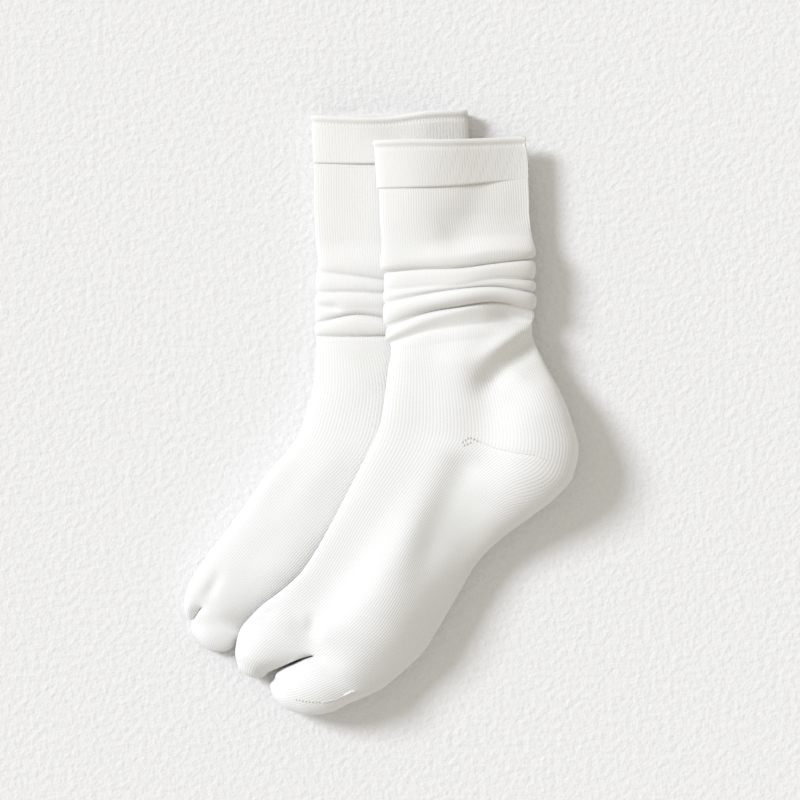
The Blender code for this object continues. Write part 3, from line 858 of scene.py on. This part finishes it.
def new_tree(name, sizes):
    """An empty geometry node tree with a geometry in and out, a material and the named sizes."""
    tree = bpy.data.node_groups.new(name, "GeometryNodeTree")
    face = tree.interface
    face.new_socket("Geometry", in_out="INPUT", socket_type="NodeSocketGeometry")
    for size in sizes:
        face.new_socket(size, in_out="INPUT", socket_type="NodeSocketFloat")
    face.new_socket("Material", in_out="INPUT", socket_type="NodeSocketMaterial")
    face.new_socket("Geometry", in_out="OUTPUT", socket_type="NodeSocketGeometry")
    return tree, tree.nodes.new("NodeGroupInput"), tree.nodes.new("NodeGroupOutput")


def end_tree(tree, given, result, last):
    """Finish a tree with Realize Instances and Set Material."""
    real = tree.nodes.new("GeometryNodeRealizeInstances")
    paint = tree.nodes.new("GeometryNodeSetMaterial")
    smooth = tree.nodes.new("GeometryNodeSetShadeSmooth")
    tree.links.new(last, real.inputs["Geometry"])
    tree.links.new(real.outputs["Geometry"], smooth.inputs["Geometry"])
    tree.links.new(smooth.outputs["Geometry"], paint.inputs["Geometry"])
    tree.links.new(given.outputs["Material"], paint.inputs["Material"])
    tree.links.new(paint.outputs["Geometry"], result.inputs["Geometry"])


def cord_tree():
    """Round cords along every chain of edges."""
    tree, given, result = new_tree("rib cords", ["Cord Radius", "Spacing"])
    curve = tree.nodes.new("GeometryNodeMeshToCurve")
    even = tree.nodes.new("GeometryNodeResampleCurve")
    even.mode = "LENGTH"
    profile = tree.nodes.new("GeometryNodeCurvePrimitiveCircle")
    profile.inputs["Resolution"].default_value = 6
    sweep = tree.nodes.new("GeometryNodeCurveToMesh")
    sweep.inputs["Fill Caps"].default_value = True
    tree.links.new(given.outputs["Geometry"], curve.inputs["Mesh"])
    tree.links.new(curve.outputs["Curve"], even.inputs["Curve"])
    tree.links.new(given.outputs["Spacing"], even.inputs["Length"])
    tree.links.new(given.outputs["Cord Radius"], profile.inputs["Radius"])
    tree.links.new(even.outputs["Curve"], sweep.inputs["Curve"])
    tree.links.new(profile.outputs["Curve"], sweep.inputs["Profile Curve"])
    end_tree(tree, given, result, sweep.outputs["Mesh"])
    return tree


def stitch_tree():
    """Short thread stitches set along every chain of edges, each turned a little off the line."""
    tree, given, result = new_tree("thread stitches", ["Spacing", "Length", "Thickness", "Slant"])
    curve = tree.nodes.new("GeometryNodeMeshToCurve")
    points = tree.nodes.new("GeometryNodeCurveToPoints")
    points.mode = "LENGTH"
    stitch = tree.nodes.new("GeometryNodeMeshUVSphere")
    stitch.inputs["Segments"].default_value = 8
    stitch.inputs["Rings"].default_value = 6
    stitch.inputs["Radius"].default_value = 0.5
    place = tree.nodes.new("GeometryNodeInstanceOnPoints")
    along = tree.nodes.new("FunctionNodeAlignRotationToVector")
    along.axis = "X"
    slant = tree.nodes.new("GeometryNodeRotateInstances")
    turn = tree.nodes.new("ShaderNodeCombineXYZ")
    size = tree.nodes.new("ShaderNodeCombineXYZ")
    tree.links.new(given.outputs["Geometry"], curve.inputs["Mesh"])
    tree.links.new(curve.outputs["Curve"], points.inputs["Curve"])
    tree.links.new(given.outputs["Spacing"], points.inputs["Length"])
    tree.links.new(points.outputs["Points"], place.inputs["Points"])
    tree.links.new(points.outputs["Tangent"], along.inputs["Vector"])
    tree.links.new(along.outputs["Rotation"], place.inputs["Rotation"])
    tree.links.new(stitch.outputs["Mesh"], place.inputs["Instance"])
    tree.links.new(given.outputs["Length"], size.inputs["X"])
    tree.links.new(given.outputs["Thickness"], size.inputs["Y"])
    tree.links.new(given.outputs["Thickness"], size.inputs["Z"])
    tree.links.new(size.outputs["Vector"], place.inputs["Scale"])
    tree.links.new(place.outputs["Instances"], slant.inputs["Instances"])
    tree.links.new(given.outputs["Slant"], turn.inputs["Z"])
    tree.links.new(turn.outputs["Vector"], slant.inputs["Rotation"])
    end_tree(tree, given, result, slant.outputs["Instances"])
    return tree


def grow(guide, tree, sizes, material, name):
    """Run a node tree on a guide and keep its result as a plain mesh."""
    modifier = guide.modifiers.new("grow", "NODES")
    modifier.node_group = tree
    for socket in tree.interface.items_tree:
        if socket.in_out == "INPUT" and socket.name in sizes:
            modifier[socket.identifier] = sizes[socket.name]
        elif socket.in_out == "INPUT" and socket.name == "Material":
            modifier[socket.identifier] = material
    shape = guide.evaluated_get(bpy.context.evaluated_depsgraph_get())
    data = bpy.data.meshes.new_from_object(shape)
    data.name = name
    thing = bpy.data.objects.new(name, data)
    bpy.context.scene.collection.objects.link(thing)
    bpy.data.objects.remove(guide, do_unlink=True)
    return thing


def make_rib_cords(name, rings, tree, material):
    """Ribs up the outside of a cuff, which end under its rolled rim."""
    count = round(LEG_ROUND / RIB_PITCH)
    lines = [[] for _ in range(count)]
    for step in cuff_walk(len(rings), 0)[:len(rings) - RIM_ROWS]:
        points = walk_points(rings, step, RIB_SINK)
        closed = np.concatenate([points, points[:1]])
        shares = round_shares(rings[step[0]])
        for rib, line in enumerate(lines):
            sway = RIB_SWAY * np.sin(0.35 * step[0] + 1.7 * rib)
            share = (rib + 0.5 + sway) / count
            line.append([np.interp(share, shares, closed[:, axis]) for axis in range(3)])
    sizes = {"Cord Radius": RIB_RADIUS * MM, "Spacing": RIB_STEP * MM}
    return grow(make_guide(name + "_guide", lines), tree, sizes, material, name)


def on_cloth(line, cloth, rise):
    """Points every GUIDE_STEP along a line of (x, y), laid on the cloth from above."""
    shape = cloth.evaluated_get(bpy.context.evaluated_depsgraph_get())
    line = np.array(line, float)
    places = places_along(line)
    points = []
    for place in np.arange(0, places[-1], GUIDE_STEP):
        x = np.interp(place, places, line[:, 0]) * MM
        y = np.interp(place, places, line[:, 1]) * MM
        hit, spot, normal, _ = shape.ray_cast(Vector((x, y, ABOVE * MM)), Vector((0, 0, -1)))
        if hit:
            points.append((spot + normal * rise * MM) / MM)
    return points


def make_stitches(name, lines, cloth, sizes, rise, tree, material):
    """Stitches along lines of (x, y) that lie on the cloth. The sizes are in metres."""
    guide = make_guide(name + "_guide", [on_cloth(line, cloth, rise) for line in lines])
    return grow(guide, tree, sizes, material, name)


# ---------------------------------------------------------------- materials

def add_node(tree, kind, **settings):
    node = tree.nodes.new(kind)
    for name, value in settings.items():
        setattr(node, name, value)
    return node


def calculate(tree, operation, *values):
    """A Math node. Each value is a number or a socket to link from."""
    node = add_node(tree, "ShaderNodeMath", operation=operation)
    for socket, value in zip(node.inputs, values):
        if isinstance(value, (int, float)):
            socket.default_value = value
        else:
            tree.links.new(value, socket)
    return node.outputs["Value"]


def new_group(name, inputs, outputs):
    """An empty shader node group. inputs and outputs are lists of (name, socket type)."""
    group = bpy.data.node_groups.new(name, "ShaderNodeTree")
    for socket, kind in inputs:
        group.interface.new_socket(socket, in_out="INPUT", socket_type=kind)
    for socket, kind in outputs:
        group.interface.new_socket(socket, in_out="OUTPUT", socket_type=kind)
    return group, group.nodes.new("NodeGroupInput"), group.nodes.new("NodeGroupOutput")


def knit_relief():
    """Columns of V stitches from U round the tube and V along it, both in metres."""
    group, given, result = new_group(
        "knit relief",
        [("UV", "NodeSocketVector"), ("Wale Pitch", "NodeSocketFloat"),
         ("Course Pitch", "NodeSocketFloat"), ("Slant", "NodeSocketFloat")],
        [("Height", "NodeSocketFloat"), ("Groove Shade", "NodeSocketFloat")])
    split = add_node(group, "ShaderNodeSeparateXYZ")
    group.links.new(given.outputs["UV"], split.inputs["Vector"])
    wale = calculate(group, "DIVIDE", split.outputs["X"], given.outputs["Wale Pitch"])
    course = calculate(group, "DIVIDE", split.outputs["Y"], given.outputs["Course Pitch"])
    in_wale = calculate(group, "FRACT", wale)
    off_middle = calculate(group, "ABSOLUTE", calculate(group, "SUBTRACT", in_wale, 0.5))
    rib = calculate(group, "COSINE", calculate(group, "MULTIPLY", off_middle, pi))
    lean = calculate(group, "MULTIPLY", off_middle, given.outputs["Slant"])
    turn = calculate(group, "MULTIPLY", calculate(group, "ADD", course, lean), 2 * pi)
    loops = calculate(group, "MULTIPLY_ADD", calculate(group, "COSINE", turn), 0.5, 0.5)
    wales = calculate(group, "MULTIPLY", rib, 1 - LOOP_SHARE)
    height = calculate(group, "MULTIPLY_ADD", loops, LOOP_SHARE, wales)
    # the groove between wales: a mask for painted shade, laid into the yarn's colour
    groove_shade = calculate(group, "SUBTRACT", 1.0, calculate(group, "POWER", rib, 0.6))
    group.links.new(height, result.inputs["Height"])
    group.links.new(groove_shade, result.inputs["Groove Shade"])
    return group


def yarn_colour_and_groove_shade():
    """White cotton, a little creamier up the leg and from place to place, with painted shade in the
    grooves of the knit.
    """
    group, given, result = new_group(
        "yarn colour and groove shade",
        [("White", "NodeSocketColor"), ("Cream", "NodeSocketColor"), ("Groove Shade", "NodeSocketFloat")],
        [("Color", "NodeSocketColor"), ("Fuzz", "NodeSocketFloat")])
    place = add_node(group, "ShaderNodeTexCoord")
    patches = add_node(group, "ShaderNodeTexNoise")
    patches.inputs["Scale"].default_value = PATCH_SCALE
    patches.inputs["Detail"].default_value = 3
    fuzz = add_node(group, "ShaderNodeTexNoise")
    fuzz.inputs["Scale"].default_value = FUZZ_SCALE
    fuzz.inputs["Detail"].default_value = 2
    for noise in (patches, fuzz):
        group.links.new(place.outputs["Object"], noise.inputs["Vector"])
    along = add_node(group, "ShaderNodeSeparateXYZ")
    group.links.new(place.outputs["Object"], along.inputs["Vector"])
    share = calculate(group, "MULTIPLY", along.outputs["Y"], CREAM_UP_LEG)
    share = calculate(group, "MULTIPLY_ADD", patches.outputs["Fac"], CREAM_PATCHES, share)
    # painted shade: the cream colour laid into the grooves of the knit
    share = calculate(group, "MULTIPLY_ADD", given.outputs["Groove Shade"], GROOVE_SHADE_SHARE, share)
    mix = add_node(group, "ShaderNodeMix", data_type="RGBA", clamp_factor=True)
    group.links.new(share, mix.inputs["Factor"])
    group.links.new(given.outputs["White"], mix.inputs["A"])
    group.links.new(given.outputs["Cream"], mix.inputs["B"])
    group.links.new(mix.outputs["Result"], result.inputs["Color"])
    group.links.new(fuzz.outputs["Fac"], result.inputs["Fuzz"])
    return group


def put_group(tree, group, **values):
    node = add_node(tree, "ShaderNodeGroup", node_tree=group)
    for name, value in values.items():
        node.inputs[name.replace("_", " ")].default_value = value
    return node


def new_material(name, **finish):
    """A material and its nodes, with the shader's sockets set to the given finish."""
    material = bpy.data.materials.new(name)
    material.use_nodes = True
    tree = material.node_tree
    shader = tree.nodes["Principled BSDF"]
    for socket, value in finish.items():
        shader.inputs[socket.replace("_", " ")].default_value = value
    return material, tree, shader


def add_bump(tree, shader, height, depth):
    """Raise a material's surface by a height from 0 to 1. depth is in millimetres."""
    bump = add_node(tree, "ShaderNodeBump")
    bump.inputs["Distance"].default_value = depth * MM
    tree.links.new(height, bump.inputs["Height"])
    tree.links.new(bump.outputs["Normal"], shader.inputs["Normal"])


def cotton(name, colour_group, relief_group, pitch, course, bump):
    """Knitted white cotton. bump is the depth of the stitches in millimetres."""
    material, tree, shader = new_material(name, Roughness=0.92, Sheen_Weight=0.2,
                                          Sheen_Roughness=0.6, Specular_IOR_Level=0.25)
    uv = add_node(tree, "ShaderNodeUVMap", uv_map="Knit")
    relief = put_group(tree, relief_group, Wale_Pitch=pitch * MM, Course_Pitch=course * MM,
                       Slant=STITCH_SLANT)
    colour = put_group(tree, colour_group, White=WHITE, Cream=CREAM_AND_GROOVE_SHADE)
    tree.links.new(uv.outputs["UV"], relief.inputs["UV"])
    # the grooves of the knit carry painted shade into the colour
    tree.links.new(relief.outputs["Groove Shade"], colour.inputs["Groove Shade"])
    tree.links.new(colour.outputs["Color"], shader.inputs["Base Color"])
    height = calculate(tree, "MULTIPLY_ADD", colour.outputs["Fuzz"], 0.5, relief.outputs["Height"])
    add_bump(tree, shader, height, bump)
    return material


def thread(name, colour_group, white, cream):
    """Sewing thread in the given white and cream, with a fine roughness; in SHADE it is painted shade in
    the eyelet holes.
    """
    material, tree, shader = new_material(name, Roughness=0.8, Specular_IOR_Level=0.3)
    colour = put_group(tree, colour_group, White=white, Cream=cream)
    tree.links.new(colour.outputs["Color"], shader.inputs["Base Color"])
    add_bump(tree, shader, colour.outputs["Fuzz"], THREAD_BUMP)
    return material


def plaster():
    """The pale floor: plain, with a faint roughness."""
    material, tree, shader = new_material("plaster", Roughness=0.95, Specular_IOR_Level=0.1)
    place = add_node(tree, "ShaderNodeTexCoord")
    grain = add_node(tree, "ShaderNodeTexNoise")
    grain.inputs["Scale"].default_value = FLOOR_GRAIN
    grain.inputs["Detail"].default_value = 6
    tone = add_node(tree, "ShaderNodeMix", data_type="RGBA")
    tone.inputs["A"].default_value = FLOOR_LOW
    tone.inputs["B"].default_value = FLOOR_HIGH
    tree.links.new(place.outputs["Object"], grain.inputs["Vector"])
    tree.links.new(grain.outputs["Fac"], tone.inputs["Factor"])
    tree.links.new(tone.outputs["Result"], shader.inputs["Base Color"])
    add_bump(tree, shader, grain.outputs["Fac"], FLOOR_BUMP)
    return material


# ---------------------------------------------------------------- floor, light and camera

def add_floor():
    bpy.ops.mesh.primitive_plane_add(size=FLOOR_SIZE, location=(0, 0, 0))
    floor = bpy.context.object
    floor.name = "floor"
    floor.data.materials.append(plaster())


def add_light():
    data = bpy.data.lights.new("key", "SUN")
    data.energy = SUN_STRENGTH
    data.color = SUN_COLOUR
    data.angle = radians(SUN_SOFTNESS)
    key = bpy.data.objects.new("key", data)
    bpy.context.scene.collection.objects.link(key)
    key.rotation_euler = Vector(SUN_FROM).to_track_quat("Z", "Y").to_euler()
    world = bpy.data.worlds.new("studio")
    world.use_nodes = True
    background = world.node_tree.nodes["Background"]
    background.inputs["Color"].default_value = SKY_COLOUR
    background.inputs["Strength"].default_value = SKY_STRENGTH
    bpy.context.scene.world = world


def add_camera():
    data = bpy.data.cameras.new("camera")
    data.lens = CAMERA_LENS
    data.sensor_width = 36
    camera = bpy.data.objects.new("camera", data)
    bpy.context.scene.collection.objects.link(camera)
    camera.location = CAMERA_PLACE
    bpy.context.scene.camera = camera
    bpy.context.scene.view_settings.view_transform = "Standard"


# ---------------------------------------------------------------- the pair

def declare(thing, node, others=()):
    """Tie a piece, and the pieces sewn on it, to the frame."""
    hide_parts(node)
    for piece in (thing, *others):
        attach(piece, "root")


def main():
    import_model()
    colour, relief = yarn_colour_and_groove_shade(), knit_relief()
    plain = cotton("plain_knit", colour, relief, WALE_PITCH, COURSE_PITCH, PLAIN_BUMP)
    ribbed = cotton("rib_knit", colour, relief, RIB_PITCH / 2, COURSE_PITCH, RIB_BUMP)
    white_thread = thread("white_thread", colour, WHITE, CREAM_AND_GROOVE_SHADE)
    # dark sunk stitches that paint the shade inside the eyelet holes
    pit_shade = thread("painted_pit_shade", colour, SHADE, SHADE)
    ribs, stitches = cord_tree(), stitch_tree()

    left_cuff, left_rings = make_cuff("left_cuff", LEFT_CUFF, bare_surface, seed=1.3, material=ribbed)
    left_ribs = make_rib_cords("left_cuff_ribs", left_rings, ribs, ribbed)
    left_tube = [leg_start(LEFT_CUFF[-1])] + LEFT_LEG + LEFT_FOOT
    left_sock = make_sock("left_sock_cloth", left_tube, LEFT_DENTS, LEFT_CLEFT,
                          (LEFT_BIG_TOE, LEFT_FOUR_TOES), None, bare_surface, seed=2.2, material=plain)

    over_left = tent_over(left_sock, left_cuff)
    right_cuff, right_rings = make_cuff("right_cuff", RIGHT_CUFF, over_left, seed=4.1, material=ribbed)
    right_ribs = make_rib_cords("right_cuff_ribs", right_rings, ribs, ribbed)
    right_tube = [leg_start(RIGHT_CUFF[-1])] + RIGHT_LEG + RIGHT_FOOT
    right_sock = make_sock("right_sock_cloth", right_tube, RIGHT_DENTS, RIGHT_CLEFT,
                           (RIGHT_FOUR_TOES, RIGHT_BIG_TOE), (RIGHT_GORE[0], RIGHT_GORE[-1]),
                           over_left, seed=3.4, material=plain)
    for sock in (left_sock, right_sock):
        add_wall(sock, SOCK_WALL)

    sewn = []
    for name, lines, sizes, rise, yarn in (
            ("right_toe_seam", [RIGHT_TOE_SEAM[2:]], SEAM_STITCH, 0.25, white_thread),
            ("right_toe_seam_nub", [RIGHT_SEAM_NUB], NUB_STITCH, 0.3, white_thread),
            # the eyelets are painted shade: dark stitches sunk where the holes are
            ("right_toe_eyelets", [RIGHT_TOE_SEAM[:5]], PIT_STITCH, -0.1, pit_shade),
            ("right_gore_eyelets", [RIGHT_GORE[:3], RIGHT_GORE_TURN], PIT_STITCH, -0.05, pit_shade),
            ("right_gore_seam", [RIGHT_GORE[2:]], SEAM_STITCH, 0.05, white_thread)):
        sewn.append(make_stitches(name, lines, right_sock, sizes, rise, stitches, yarn))

    declare(left_cuff, "left_cuff_welt", [left_ribs])
    declare(right_cuff, "right_cuff_welt", [right_ribs])
    declare(left_sock, "left_sock")
    declare(right_sock, "right_sock", sewn)

    add_floor()
    add_light()
    add_camera()


main()
